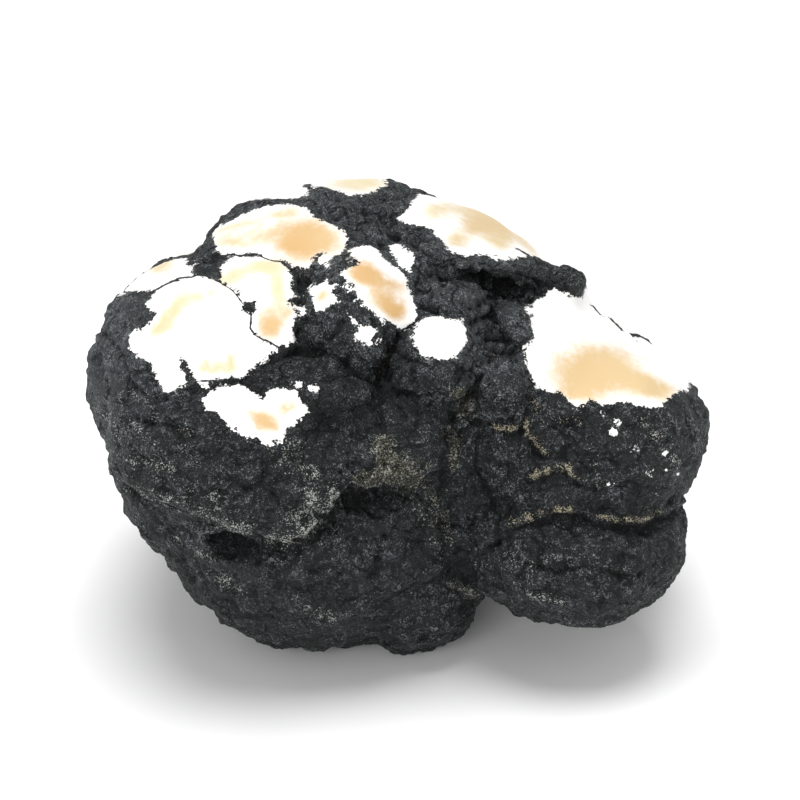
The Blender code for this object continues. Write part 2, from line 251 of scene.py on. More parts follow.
# Knobs of the skin, each a low dome with a crease round it: place in pixels, half width, half
# height and turn, then its rise in millimetres.
KNOBS = (
    (456, 296, 33, 17, -6, 1.3), (462, 312, 20, 6, 0, 0.5), (514, 320, 17, 20, 10, 1.1),
    (503, 380, 26, 24, 0, 1.2), (548, 285, 6, 6, 0, 0.7), (537, 289, 6, 5, 0, 0.7),
    (560, 266, 22, 7, 42, 0.3), (526, 291, 5, 5, 0, 0.6), (556, 293, 5, 6, 0, 0.6),
    (544, 275, 5, 5, 0, 0.5), (446, 259, 8, 7, 0, 0.6), (462, 266, 8, 7, 0, 0.6),
    (476, 271, 6, 7, 0, 0.5), (436, 251, 6, 6, 0, 0.5), (566, 288, 7, 8, 0, 0.5),
    (322, 335, 20, 13, 20, 0.6), (420, 377, 30, 15, -8, 0.8), (352, 392, 22, 18, 0, 0.7),
    (300, 366, 20, 8, -5, 0.5), (500, 455, 30, 24, 0, 0.8), (548, 442, 20, 15, 20, 0.7),
    (604, 440, 38, 22, 0, 0.6), (560, 496, 34, 10, -4, 0.5), (478, 520, 22, 30, 0, 0.7),
    (520, 562, 34, 26, 0, 0.5), (604, 558, 42, 26, 0, 0.5), (150, 440, 26, 18, 25, 0.6),
    (121, 400, 12, 30, 0, 0.5), (215, 472, 40, 18, 12, 0.5), (306, 484, 28, 26, 0, 0.5),
    (160, 540, 26, 12, 35, 0.5), (205, 600, 34, 18, 35, 0.5), (300, 592, 44, 26, 0, 0.5),
    (402, 562, 30, 26, 0, 0.5), (440, 620, 24, 14, 0, 0.5), (412, 232, 14, 8, 25, 0.6),
    (386, 212, 15, 7, 15, 0.6), (428, 282, 11, 8, 0, 0.5), (314, 204, 11, 6, 0, 0.5),
    (372, 198, 12, 6, 10, 0.5), (489, 329, 10, 10, 0, 1.2), (487, 310, 7, 6, 0, 0.6),
    (495, 346, 9, 6, 0, 0.9), (499, 312, 5, 8, 0, 0.6), (330, 360, 12, 9, 0, 0.6),
    (372, 352, 14, 12, 0, 0.6), (410, 452, 14, 8, 0, 0.4),
)

# Dust and grit, in pixels with half width and strength: grey dust, beige grit on the lips,
# and the olive crust of the valley.
GREY_DUST = (
    (8, 0.5, ((150, 492), (180, 504), (205, 514), (228, 524))),
    (9, 0.75, ((222, 521), (232, 526), (246, 528))),
    (11, 0.8, ((272, 539), (288, 541), (303, 534), (316, 520))),
    (14, 0.7, ((300, 520), (312, 500), (326, 502), (336, 494))),
    (22, 0.5, ((288, 450), (306, 470), (322, 498), (316, 520))),
    (22, 0.3, ((110, 420), (140, 470), (190, 500), (240, 520))),
    (7, 0.7, ((146, 462), (158, 466), (172, 468))),
    (4, 0.9, ((213, 493), (214, 500), (217, 508))),
    (4, 0.8, ((133, 392), (135, 398), (138, 402))),
    (4, 0.65, ((146, 396), (153, 407), (155, 419))),
    (5, 0.55, ((98, 412), (110, 422), (124, 436))),
    (4, 0.5, ((172, 440), (186, 452), (200, 466))),
    (4, 0.5, ((120, 400), (128, 416), (140, 432), (158, 446))),
    (6, 0.6, ((180, 430), (192, 435))),
    (6, 0.6, ((125, 488), (145, 494))),
    (6, 0.7, ((199, 553), (212, 558))),
    (6, 0.6, ((176, 538), (186, 543))),
    (7, 0.6, ((213, 574), (226, 582), (240, 591))),
    (8, 0.6, ((308, 612), (332, 618))),
    (9, 0.35, ((590, 440), (596, 462), (600, 488))),
    (12, 0.3, ((480, 556), (520, 566), (560, 560), (620, 570))),
    (6, 0.7, ((528, 593), (545, 598), (561, 601))),
    (14, 0.45, ((414, 505), (430, 520), (444, 538))),
    (10, 0.45, ((640, 420), (660, 440), (676, 462))),
    (10, 0.4, ((500, 400), (520, 412), (545, 420))),
)
BEIGE_GRIT = (
    (5, 0.75, ((495, 427), (512, 429), (522, 425), (529, 434), (538, 446), (547, 455))),
    (6, 0.8, ((531, 476), (545, 472), (552, 467), (567, 468), (571, 473))),
    (4, 0.45, ((574, 477), (586, 480))),
    (6, 0.7, ((512, 522), (528, 517), (548, 511), (572, 510))),
    (4, 0.8, ((600, 516), (620, 520), (644, 521), (660, 512))),
    (4, 0.7, ((494, 348), (497, 360))),
    (8, 0.55, ((530, 398), (535, 410), (525, 424))),
    (6, 0.5, ((560, 420), (572, 417), (582, 422))),
    (5, 0.5, ((270, 447), (285, 453))),
)
OLIVE_GRIT = (
    (12, 1.0, ((383, 446), (386, 460), (392, 474))),
    (14, 0.95, ((392, 462), (402, 472), (412, 480))),
    (9, 0.9, ((360, 482), (372, 477), (388, 476))),
    (5, 0.6, ((414, 461), (429, 465))),
    (11, 0.9, ((460, 394), (466, 402), (466, 412))),
    (7, 0.7, ((447, 430), (456, 448), (452, 466))),
    (10, 0.45, ((420, 484), (436, 502), (444, 530))),
    (5, 0.5, ((392, 345), (386, 362), (380, 376))),
    (6, 0.45, ((452, 584), (468, 592), (482, 602))),
    (7, 0.4, ((300, 272), (296, 258), (306, 268))),
)

# Where the skin is as rough as a cauliflower: middle, radius and share.
ROUGH_ZONES = (
    ((-2, -12, 56), 17, 1.0),
    ((8, -22, 46), 13, 1.0),
    ((0, 6, 62), 15, 1.0),
    ((16, -8, 55), 11, 1.0),
    ((-3, -30, 30), 12, 0.8),
    ((2, 30, 40), 20, 0.8),
    ((10, -24, 22), 9, 0.6),
)

# Where the skin is paler with dust, in the same way.
DUSTY_ZONES = (
    ((-40, -8, 40), 24, 1.0),
    ((-6, 0, 62), 26, 0.85),
    ((12, -15, 52), 14, 1.0),
    ((34, 2, 44), 18, 0.7),
    ((0, 30, 46), 26, 0.7),
    ((40, -14, 32), 13, 0.5),
)

# Painted shade: places where the skin is darkened towards black and keeps no dust: place in
# pixels, half width, half height, turn and share.
PAINTED_SHADE_SPOTS = (
    (516, 284, 34, 11, 3, 1.0), (470, 277, 22, 6, 8, 0.5), (378, 500, 34, 13, 0, 0.5),
    (545, 288, 20, 9, 20, 0.7), (492, 335, 10, 12, 0, 0.4), (392, 360, 10, 24, 20, 0.5),
    (330, 420, 24, 30, 0, 0.3), (482, 625, 12, 14, 0, 0.6),
)

# Fine wrinkles run along this turned and stretched space.
WRINKLE_TURN = np.array(((0.82, 0.0, 0.57), (0.0, 1.0, 0.0), (-0.57, 0.0, 0.82)))
WRINKLE_STRETCH = np.array((3.2, 1.6, 0.8))

# Lesser colours, as linear light.
EDGE_STAIN = (0.42, 0.41, 0.38)
# Pale specks, partly painted glints.
SPECK_AND_GLINT = (0.42, 0.44, 0.43)
# Black of the fissures, and of the painted shade in hollows.
FISSURE_AND_SHADE_BLACK = (0.004, 0.004, 0.005)
DUST_VEIL = (0.13, 0.155, 0.175)
DUST_SHADE = (0.12, 0.125, 0.12)
OLIVE_SHADE = (0.018, 0.018, 0.012)
OLIVE_CRUMB = (0.5, 0.5, 0.46)
BEIGE_SHADE = (0.13, 0.115, 0.075)
FLOOR_WHITE = (0.92, 0.92, 0.92)

# Relief of the skin, in millimetres. Lumps: size, seed, height beside the largest lumps',
# plain skin's share of it, and the level between crease and top that stays in place.
SKIN_LUMPS = (
    (4.0, 3.1, 1.0, 0.15, 0.9), (1.9, 7.7, 0.6, 0.12, 0.75), (1.05, 1.3, 0.3, 0.4, 0.7),
)
# Waves: size, seed and height.
SKIN_WAVES = ((6.5, 5.0, 0.35), (2.6, 9.0, 0.15), (1.2, 2.0, 0.12))
# Folds: size, seed, depth and plain skin's share of it.
SKIN_FOLDS = ((3.4, 8.0, 0.9, 0.0), (1.6, 2.5, 0.5, 0.3))
FOLD_LEVEL = 0.22
WRINKLE_HEIGHT = 0.2
PIT_DEPTH = 0.3
CRACK_DEPTH = 0.22
GRIT_HEIGHT = 0.3

# Millimetres that stand for far from an edge, far from a crack and out of sight, and how far
# a window may overrun its ball in front and behind.
EDGE_FAR = 6.0
CRACK_FAR = 9.0
OUT_OF_SIGHT = 99.0
OVERRUN_FRONT = 4.0
OVERRUN_BEHIND = 2.0

# How far behind its edge a ledge's lip is highest and how broad it is, in millimetres, and
# how many pixels from its ends it has its full height.
LIP_SETBACK = 0.6
LIP_BREADTH = 0.8
LEDGE_FADE = 14

# How steeply tan spots fade, then a back window's share and redness and its spot's size.
SPOT_FADE = 2.4
BACK_TAN = (0.8, 0.7)
BACK_TAN_SIZE = 0.5

# Ragged edge of the windows: size, detail and roughness of the noise, then its depth in
# millimetres.
EDGE_TEETH = ((2.4, 1.0, 0.55, 1.3), (0.95, 2.0, 0.55, 1.5), (0.35, 3.0, 0.65, 1.7))

# The front light's turn from overhead about X and Y, and the lights' breadth, in degrees.
FRONT_LIGHT_TURN = (60, -50)
LIGHT_BREADTH = 35


class HowliteStone(bpy.types.PropertyGroup):
    """Sizes of the stone's finish."""

    voxel: bpy.props.FloatProperty(
        name="Voxel", description="Fineness that the stone is remeshed to, in metres",
        default=0.42 * MM, unit="LENGTH")
    triangles: bpy.props.IntProperty(
        name="Triangles", description="Most triangles that the finished stone keeps",
        default=196000)
    lump: bpy.props.FloatProperty(
        name="Lump height", description="Height of the skin's largest lumps, in metres",
        default=0.8 * MM, unit="LENGTH")
    relief: bpy.props.FloatProperty(
        name="Relief", description="How much the lobes and creases are brought out", default=0.8)
    sheen: bpy.props.FloatProperty(
        name="Sheen", description="How much the surface shines", default=0.25)
    grain: bpy.props.FloatProperty(
        name="Grain depth", description="Depth of the skin's fine grain, in metres",
        default=0.2 * MM, unit="LENGTH")


class HowliteColours(bpy.types.PropertyGroup):
    """Colours of the skin, the windows and the grit."""

    chalk: bpy.props.FloatVectorProperty(
        name="Chalk", description="White of the ground windows", subtype="COLOR",
        default=(0.9, 0.89, 0.87))
    honey: bpy.props.FloatVectorProperty(
        name="Honey", description="Tan in the middle of the windows", subtype="COLOR",
        default=(0.6, 0.38, 0.165))
    cream: bpy.props.FloatVectorProperty(
        name="Cream", description="Yellowish tint of the paler spots", subtype="COLOR",
        default=(0.74, 0.65, 0.42))
    skin_dark: bpy.props.FloatVectorProperty(
        name="Dark skin", description="Charcoal of the grown skin", subtype="COLOR",
        default=(0.0085, 0.0098, 0.0105))
    skin_pale: bpy.props.FloatVectorProperty(
        name="Pale skin", description="Dusty grains of the grown skin", subtype="COLOR",
        default=(0.2, 0.22, 0.23))
    dust_grey: bpy.props.FloatVectorProperty(
        name="Grey dust", description="Dust on the lips and lobes", subtype="COLOR",
        default=(0.6, 0.61, 0.57))
    grit_beige: bpy.props.FloatVectorProperty(
        name="Beige grit", description="Grit on the lips of the ledges", subtype="COLOR",
        default=(0.54, 0.49, 0.36))
    grit_olive: bpy.props.FloatVectorProperty(
        name="Olive grit", description="Crust in the valley", subtype="COLOR",
        default=(0.15, 0.145, 0.1))


class HowliteStudio(bpy.types.PropertyGroup):
    """The floor and the lights."""

    floor_width: bpy.props.FloatProperty(
        name="Floor width", description="Side of the floor", default=6.0, unit="LENGTH")
    top_light: bpy.props.FloatProperty(
        name="Top light", description="Strength of the soft light above", default=2.15)
    front_light: bpy.props.FloatProperty(
        name="Front light", description="Strength of the soft light at the front left",
        default=1.3)
    fill_light: bpy.props.FloatProperty(
        name="Fill light", description="Strength of the light from all round", default=0.6)


# Sums on fields over the mesh

def smooth_step(value, low, high):
    """0 below low, 1 above high, and a smooth rise between them."""
    share = np.clip((value - low) / (high - low), 0, 1)
    return share * share * (3 - 2 * share)


def fade(value, low, high):
    """1 below low, 0 above high, and a smooth fall between them."""
    return 1 - smooth_step(value, low, high)


def sampled(function, points):
    """A noise function's value at each point."""
    return np.array([function(Vector(point)) for point in points])


def lumps(points, size, seed):
    """Rounded lumps that meet in sharp creases: 0 in a crease, 1 on top."""
    def one(place):
        bent = place + noise.noise_vector(place * 0.8) * 0.35
        distances = noise.voronoi(bent)[0]
        gap = min((distances[1] - distances[0]) / 0.5, 1.0)
        return math.sqrt(gap * (2 - gap))
    return sampled(one, points / size + seed)


def waves(points, size, seed):
    """Soft noise between -1 and 1."""
    return sampled(noise.noise, points / size + seed)


# The photograph's view

class View:
    """The photograph's camera, for reading places off it in pixels."""

    target = np.array(VIEW_TARGET_MM)
    right = np.array((1.0, 0.0, 0.0))
    up = np.array((0.0, math.sin(VIEW_ELEVATION), math.cos(VIEW_ELEVATION)))
    back = np.array((0.0, -math.cos(VIEW_ELEVATION), math.sin(VIEW_ELEVATION)))
    eye = target + back * VIEW_DISTANCE_MM

    @classmethod
    def pixels(cls, points):
        """Where points, in millimetres, fall in the photograph."""
        offset = points - cls.target
        swell = VIEW_DISTANCE_MM / (VIEW_DISTANCE_MM - offset @ cls.back) / PIXEL_MM
        middle = PHOTO_SIDE / 2
        return np.stack([middle + offset @ cls.right * swell,
                         middle - offset @ cls.up * swell], axis=1)


def faces_to_hit(mesh):
    """The mesh's faces, laid out for casting rays at them."""
    return BVHTree.FromPolygons([vertex.co for vertex in mesh.vertices],
                                [polygon.vertices for polygon in mesh.polygons])


def seen_from_camera(mesh, points, normals):
    """Whether each vertex is in the camera's sight, with nothing of the stone before it."""
    tree = faces_to_hit(mesh)
    eye = Vector(View.eye * MM)
    seen = np.zeros(len(points), bool)
    for index in np.flatnonzero(normals @ View.back > -0.05):
        start = Vector((points[index] + normals[index] * 0.3) * MM)
        seen[index] = tree.ray_cast(start, (eye - start).normalized())[0] is None
    return seen


def rounded(outline, steps=4):
    """A closed smooth curve through the outline's points."""
    knots = np.array(outline, float)
    before = np.roll(knots, 1, axis=0)
    after = np.roll(knots, -1, axis=0)
    beyond = np.roll(knots, -2, axis=0)
    curve = []
    for step in range(steps):
        t = step / steps
        curve.append(0.5 * (2 * knots + (after - before) * t
                            + (2 * before - 5 * knots + 4 * after - beyond) * t ** 2
                            + (3 * knots - before - 3 * after + beyond) * t ** 3))
    return np.stack(curve, axis=1).reshape(-1, 2)


def stretches(run, closed):
    """The starts and the ends of a run's straight stretches."""
    run = np.array(run, float)
    if closed:
        return run, np.roll(run, -1, axis=0)
    return run[:-1], run[1:]


def distance_to_run(at, run, closed=False):
    """Distance in pixels to a run of straight stretches, the side of it that a point is on, as
    1 or -1, and the direction away from it."""
    nearest = np.full(len(at), np.inf)
    side = np.ones(len(at))
    away = np.zeros((len(at), 2))
    for start, end in zip(*stretches(run, closed)):
        along = end - start
        share = np.clip((at - start) @ along / (along @ along), 0, 1)
        gap = at - start - share[:, None] * along
        distance = np.hypot(gap[:, 0], gap[:, 1])
        closer = distance < nearest
        nearest[closer] = distance[closer]
        turn = along[0] * (at[:, 1] - start[1]) - along[1] * (at[:, 0] - start[0])
        side[closer] = np.where(turn[closer] < 0, -1, 1)
        away[closer] = gap[closer] / np.maximum(distance[closer], 1e-6)[:, None]
    return nearest, side, away


def inside_outline(at, outline):
    """Even-odd test of points against a closed outline."""
    inside = np.zeros(len(at), bool)
    for start, end in zip(*stretches(outline, True)):
        spans = (start[1] > at[:, 1]) != (end[1] > at[:, 1])
        rise = end[1] - start[1]
        if rise == 0:
            continue
        cross = start[0] + (at[:, 1] - start[1]) / rise * (end[0] - start[0])
        inside ^= spans & (at[:, 0] < cross)
    return inside


def along_surface(pixels, away, normals):
    """A distance seen in the photograph, made into millimetres along the tilted surface."""
    direction = away[:, :1] * View.right - away[:, 1:] * View.up
    into = np.einsum("ij,ij->i", direction, normals)
    return pixels * PIXEL_MM / np.sqrt(np.clip(1 - into ** 2, 0.09, 1))


# Fields over the stone

class Fields:
    """What varies over the stone, worked out for each vertex."""

    def __init__(self, mesh):
        self.points, self.normals = places_and_normals(mesh)
        self.at = View.pixels(self.points)
        self.front = self.normals @ View.back > -0.35
        self.seen = seen_from_camera(mesh, self.points, self.normals)

    def window(self):
        """Millimetres inside the edge of the nearest window, less than 0 outside."""
        depth = np.full(len(self.points), -EDGE_FAR)
        for outline, middle, reach in FRONT_WINDOWS.values():
            gap = reach - np.linalg.norm(self.points - middle, axis=1)
            near = np.flatnonzero((gap > -EDGE_FAR) & self.front)
            curve = rounded(outline)
            distance, _, away = distance_to_run(self.at[near], curve, closed=True)
            inside = np.where(inside_outline(self.at[near], curve), 1, -1)
            along = along_surface(distance, away, self.normals[near]) * inside
            along -= HIDDEN_MARGIN * ~self.seen[near]
            along = np.minimum(along, gap[near] + OVERRUN_FRONT)
            depth[near] = np.maximum(depth[near], along)
            behind = np.flatnonzero((gap > -OVERRUN_BEHIND) & ~self.front)
            depth[behind] = np.maximum(depth[behind], gap[behind])
        for middle, radius in BACK_WINDOWS.values():
            offset = self.points - middle
            gap = np.linalg.norm(offset, axis=1)
            near = np.flatnonzero(gap < radius * 2)
            uneven = waves(offset[near] / gap[near, None], 0.55, middle[0])
            depth[near] = np.maximum(depth[near], radius * (1 + 0.5 * uneven) - gap[near])
        for x, y, radius in SMALL_WINDOWS:
            depth = np.maximum(depth, radius - self.gap_from(x, y))
        for x, y, radius in SKIN_ISLANDS:
            depth = np.minimum(depth, self.gap_from(x, y) - radius)
        return np.clip(depth, -EDGE_FAR, EDGE_FAR)

    def gap_from(self, x, y):
        """Distance of seen vertices from a place in the photograph, far for the others."""
        gap = np.linalg.norm(self.at - (x, y), axis=1) * PIXEL_MM
        return np.where(self.seen, gap, OUT_OF_SIGHT)

    def distance_from(self, x, y, wide, high, turn):
        """Distance from a place in the photograph, 1 on the oval of the given size."""
        angle = math.radians(turn)
        offset = self.at - (x, y)
        across = offset @ (math.cos(angle), math.sin(angle)) / wide
        down = offset @ (-math.sin(angle), math.cos(angle)) / high
        return np.hypot(across, down)

    def cracks(self):
        """Signed distance to the nearest crack over its half width, and the plain distance."""
        nearest = np.full(len(self.points), CRACK_FAR)
        signed = np.full(len(self.points), CRACK_FAR)
        for half_width, run in CRACKS:
            distance, side, _ = distance_to_run(self.at, run)
            distance = np.where(self.seen, distance * PIXEL_MM, CRACK_FAR)
            closer = distance < nearest
            nearest[closer] = distance[closer]
            signed[closer] = (side * distance / half_width)[closer]
        return np.clip(signed, -CRACK_FAR, CRACK_FAR), nearest

    def creases(self):
        """How deep the creases cut, in millimetres."""
        return self.seen * np.maximum.reduce([
            depth * fade(distance_to_run(self.at, run)[0] * PIXEL_MM, 0, half_width)
            for half_width, depth, run in CREASES])

    def ledges(self):
        """Lips that stand out and the drops under them, in millimetres."""
        height = np.zeros(len(self.points))
        for lip, drop, reach, run in LEDGES:
            distance, side, _ = distance_to_run(self.at, run)
            below = distance * side * PIXEL_MM
            out = lip * np.exp(-((below + LIP_SETBACK) / LIP_BREADTH) ** 2)
            under = drop * smooth_step(below, -0.15, 0.35) * fade(below, 0.5, reach)
            end = np.minimum(np.linalg.norm(self.at - run[0], axis=1),
                             np.linalg.norm(self.at - run[-1], axis=1))
            kept = smooth_step(end, 0, LEDGE_FADE) * (distance * PIXEL_MM < reach) * self.seen
            change = (out - under) * kept
            height = np.where(np.abs(change) > np.abs(height), change, height)
        return height

    def knobs(self):
        """Height of the knobs, in millimetres."""
        height = np.zeros(len(self.points))
        uneven = 1 + 0.45 * waves(self.points, 2.6, 4.6) + 0.25 * waves(self.points, 1.1, 8.2)
        for *oval, rise in KNOBS:
            out = self.distance_from(*oval) * uneven
            dome = np.sqrt(np.clip(1 - out ** 2, 0, 1))
            crease = 0.3 * np.exp(-((out - 1.06) / 0.12) ** 2)
            height += rise * (dome - crease)
        return height * self.seen

    def painted_shade(self):
        """Share of painted shade, which also keeps the dust off."""
        return self.seen * np.maximum.reduce([
            share * np.exp(-self.distance_from(*oval) ** 3) for *oval, share in PAINTED_SHADE_SPOTS])

    def tan_spots(self):
        """Each warm spot of the windows, as its share on every vertex and its redness."""
        for *oval, share, red in TAN_SPOTS:
            out = self.distance_from(*oval) / TAN_SPREAD
            yield share * np.exp(-out ** SPOT_FADE) * self.seen, red
        share, red = BACK_TAN
        for middle, radius in BACK_WINDOWS.values():
            gap = np.linalg.norm(self.points - np.array(middle) - 1.5, axis=1)
            yield share * np.exp(-(gap / radius / BACK_TAN_SIZE) ** SPOT_FADE), red

    def tan(self):
        """Strength and redness of the windows' warm middles."""
        bare = np.ones(len(self.points))
        redness = np.zeros(len(self.points))
        total = np.full(len(self.points), 1e-6)
        for spot, red in self.tan_spots():
            bare *= 1 - spot
            redness += red * spot
            total += spot
        return 1 - bare, redness / total

    def spread(self, runs):
        """Share of grit or dust round the given runs."""
        return self.seen * np.maximum.reduce([
            strength * fade(distance_to_run(self.at, run)[0], 0, half_width * 1.6)
            for half_width, strength, run in runs])

    def share_of(self, zones, least=0.0):
        """The largest share that any zone gives, fading towards its radius."""
        return np.maximum(least, np.maximum.reduce([
            share * fade(np.linalg.norm(self.points - middle, axis=1), radius * 0.5, radius)
            for middle, radius, share in zones]))

    def roughness(self):
        """Share of cauliflower lumps in the skin."""
        return self.share_of(ROUGH_ZONES, 0.25)


# The stone

def places_and_normals(mesh):
    """Each vertex's place, in millimetres, and its normal."""
    places = np.empty(len(mesh.vertices) * 3)
    normals = np.empty(len(mesh.vertices) * 3)
    mesh.vertices.foreach_get("co", places)
    mesh.vertices.foreach_get("normal", normals)
    return places.reshape(-1, 3) / MM, normals.reshape(-1, 3)


def applied(stone):
    """The mesh that the object's modifiers give."""
    graph = bpy.context.evaluated_depsgraph_get()
    return bpy.data.meshes.new_from_object(stone.evaluated_get(graph), depsgraph=graph)


def placed(name, data):
    """A new object in the scene."""
    item = bpy.data.objects.new(name, data)
    bpy.context.scene.collection.objects.link(item)
    return item


def replace_mesh(stone, mesh):
    """Gives the object a new mesh in place of its old one and its modifiers."""
    stone.modifiers.clear()
    stone.data = mesh


def add_smoothing(stone, iterations, group=""):
    """Adds a smoothing modifier, which a vertex group may limit."""
    smooth = stone.modifiers.new("Smooth", "SMOOTH")
    smooth.factor = 0.5
    smooth.iterations = iterations
    smooth.vertex_group = group


def fine_copy(shape):
    """The CAD stone again, remeshed finely, with its facets smoothed away."""
    stone = placed("howlite_stone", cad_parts[NODE].data.copy())
    remesh = stone.modifiers.new("Remesh", "REMESH")
    remesh.mode = "VOXEL"
    remesh.voxel_size = shape.voxel
    add_smoothing(stone, 10)
    replace_mesh(stone, applied(stone))
    return stone


def grind_windows(stone, depth):
    """Smooths the ground windows, which keep none of the skin's unevenness."""
    ground = stone.vertex_groups.new(name="ground")
    share = smooth_step(depth, -0.2, 0.8)
    for index in np.flatnonzero(share > 0.01):
        ground.add([int(index)], float(share[index]), "REPLACE")
    add_smoothing(stone, 30, ground.name)
    replace_mesh(stone, applied(stone))
    stone.vertex_groups.clear()


def standing_out(stone, iterations):
    """How far each vertex stands out from the surface smoothed of its small forms, in
    millimetres: above 0 on a lip or lump, below 0 in a crease."""
    soft = stone.copy()
    bpy.context.scene.collection.objects.link(soft)
    add_smoothing(soft, iterations)
    mean, _ = places_and_normals(applied(soft))
    bpy.data.objects.remove(soft)
    points, normals = places_and_normals(stone.data)
    return np.einsum("ij,ij->i", points - mean, normals)


def move_along(mesh, height):
    """Moves each vertex along its normal by a height in millimetres, but no deeper than a
    third of the way to the far side of a thin lip."""
    points, normals = places_and_normals(mesh)
    tree = faces_to_hit(mesh)
    for index in np.flatnonzero(height < -0.3):
        inward = Vector(-normals[index])
        start = Vector(points[index] * MM) + inward * 0.05 * MM
        thickness = tree.ray_cast(start, inward)[3]
        if thickness is not None:
            height[index] = max(height[index], -thickness / MM / 3)
    mesh.vertices.foreach_set("co", ((points + normals * height[:, None]) * MM).ravel())
    mesh.update()


def bring_out(stone, shape):
    """Deepens the creases between the lobes and lifts the lobes, outside the windows."""
    skin = fade(Fields(stone.data).window(), -1.5, 0.3)
    forms = np.clip(standing_out(stone, 120), -1.4, 0.8)
    move_along(stone.data, forms * shape.relief * skin)


def carve_skin(mesh, shape):
    """Lumps, wrinkles, pits, creases and ledges in the skin round the windows."""
    fields = Fields(mesh)
    points = fields.points
    rough = fields.roughness()
    skin = fade(fields.window(), -1.4, 0.1)
    height = np.zeros(len(points))
    for size, seed, share, plain, level in SKIN_LUMPS:
        amount = shape.lump / MM * share * (plain + (1 - plain) * rough)
        height += amount * (lumps(points, size, seed) - level)
    wrinkled = points @ WRINKLE_TURN / WRINKLE_STRETCH
    height += WRINKLE_HEIGHT * (1 - 0.6 * rough) * waves(wrinkled, 1.6, 4.0)
    for size, seed, rise in SKIN_WAVES:
        height += rise * waves(points, size, seed)
    height -= PIT_DEPTH * smooth_step(waves(points, 2.1, 6.0), 0.3, 0.7)
    height += fields.ledges() + fields.knobs()
    for size, seed, depth, plain in SKIN_FOLDS:
        amount = depth * (plain + (1 - plain) * rough)
        height += amount * (FOLD_LEVEL - np.abs(waves(points, size, seed)))
    height *= skin
    height -= fields.creases() * (0.25 + 0.75 * skin)
    _, crack = fields.cracks()
    height -= CRACK_DEPTH * fade(crack, 0.05, 0.6)
    grit = fields.spread(BEIGE_GRIT) + fields.spread(OLIVE_GRIT)
    height += GRIT_HEIGHT * grit * (lumps(points, 0.9, 4.4) - 0.2) * skin
    move_along(mesh, height)


def thin_out(stone, triangles):
    """Takes away triangles where the surface is plain, down to the number given."""
    count = sum(len(polygon.vertices) - 2 for polygon in stone.data.polygons)
    if count > triangles:
        thin = stone.modifiers.new("Decimate", "DECIMATE")
        thin.ratio = triangles / count
        replace_mesh(stone, applied(stone))


def store_fields(stone):
    """Puts what the material reads on the finished mesh."""
    hollow = -standing_out(stone, 12)
    fields = Fields(stone.data)
    crack, crack_gap = fields.cracks()
    tan, tan_red = fields.tan()
    # Painted shade spots, which darken the skin and keep the dust off.
    painted_shade = fields.painted_shade()
    stored = {
        "hollow": hollow,
        "window": fields.window(),
        "crack": crack,
        "crack_gap": crack_gap,
        "tan": tan,
        "tan_red": tan_red,
        "dust": fields.spread(GREY_DUST),
        "grit_beige": fields.spread(BEIGE_GRIT),
        "grit_olive": fields.spread(OLIVE_GRIT),
        "rough": fields.roughness(),
        # No dust where shade is painted.
        "dusty": fields.share_of(DUSTY_ZONES) * (1 - painted_shade),
        "painted_shade": painted_shade,
    }
    for name, values in stored.items():
        attribute = stone.data.attributes.new(name, "FLOAT", "POINT")
        attribute.data.foreach_set("value", np.asarray(values, np.float32))


# Shader nodes

class Value:
    """A shader socket that does sums: each sum on it adds a Math node."""

    def __init__(self, graph, socket):
        self.graph = graph
        self.socket = socket

    def __add__(self, other):
        return self.graph.maths("ADD", self, other)

    def __sub__(self, other):
        return self.graph.maths("SUBTRACT", self, other)

    def __rsub__(self, other):
        return self.graph.maths("SUBTRACT", other, self)

    def __mul__(self, other):
        return self.graph.maths("MULTIPLY", self, other)

    __radd__ = __add__
    __rmul__ = __mul__


class Graph:
    """The nodes of one material."""

    def __init__(self, name):
        self.material = bpy.data.materials.new(name)
        self.material.use_nodes = True
        self.tree = self.material.node_tree
        self.shader = self.tree.nodes["Principled BSDF"]

    def connect(self, socket, value):
        """Links a value to a socket, or sets a plain number or colour on it."""
        if isinstance(value, Value):
            self.tree.links.new(value.socket, socket)
        else:
            socket.default_value = value

    def finish(self, **values):
        """Fills the shader's own sockets."""
        for name, value in values.items():
            self.connect(self.shader.inputs[name.replace("_", " ")], value)

    def out(self, kind, settings=None, output=0, **inputs):
        """An output of a new node of the given kind. Its settings are set first, then its
        sockets, by name or, as _0, by number."""
        made = self.tree.nodes.new(kind)
        for name, value in (settings or {}).items():
            setattr(made, name, value)
        for name, value in inputs.items():
            key = int(name[1:]) if name[1:].isdigit() else name
            self.connect(made.inputs[key], value)
        return Value(self, made.outputs[output])

    def maths(self, operation, first, second=0.0):
        return self.out("ShaderNodeMath", {"operation": operation}, _0=first, _1=second)

    def between(self, value, low, high):
        """0 below low, 1 above high, and a smooth rise between them."""
        return self.out("ShaderNodeMapRange", {"interpolation_type": "SMOOTHSTEP"},
                        _0=value, _1=low, _2=high)

    def attribute(self, name):
        """What was stored on the mesh under this name."""
        return self.out("ShaderNodeAttribute", {"attribute_name": name}, output="Fac")

    def mix(self, share, first, second):
        """A colour between two, which may be plain colours or values."""
        first, second = (item if isinstance(item, Value) else (*item, 1.0)
                         for item in (first, second))
        return self.out("ShaderNodeMix", {"data_type": "RGBA"}, output=2,
                        _0=share, _6=first, _7=second)

    def noise(self, place, size, detail=2.0, roughness=0.55, distortion=0.0, output="Fac"):
        """Noise from 0 to 1 whose blots are about size millimetres across."""
        return self.out("ShaderNodeTexNoise", output=output, Vector=place, Scale=1 / size,
                        Detail=detail, Roughness=roughness, Distortion=distortion)

    def cell_edges(self, place, size):
        """Distance to the edges of cells about size millimetres across."""
        return self.out("ShaderNodeTexVoronoi", {"feature": "DISTANCE_TO_EDGE"},
                        output="Distance", Vector=place, Scale=1 / size)


def swing(blots, amount):
    """Noise from 0 to 1, made to swing round 0 by an amount."""
    return (blots - 0.5) * amount


# Materials

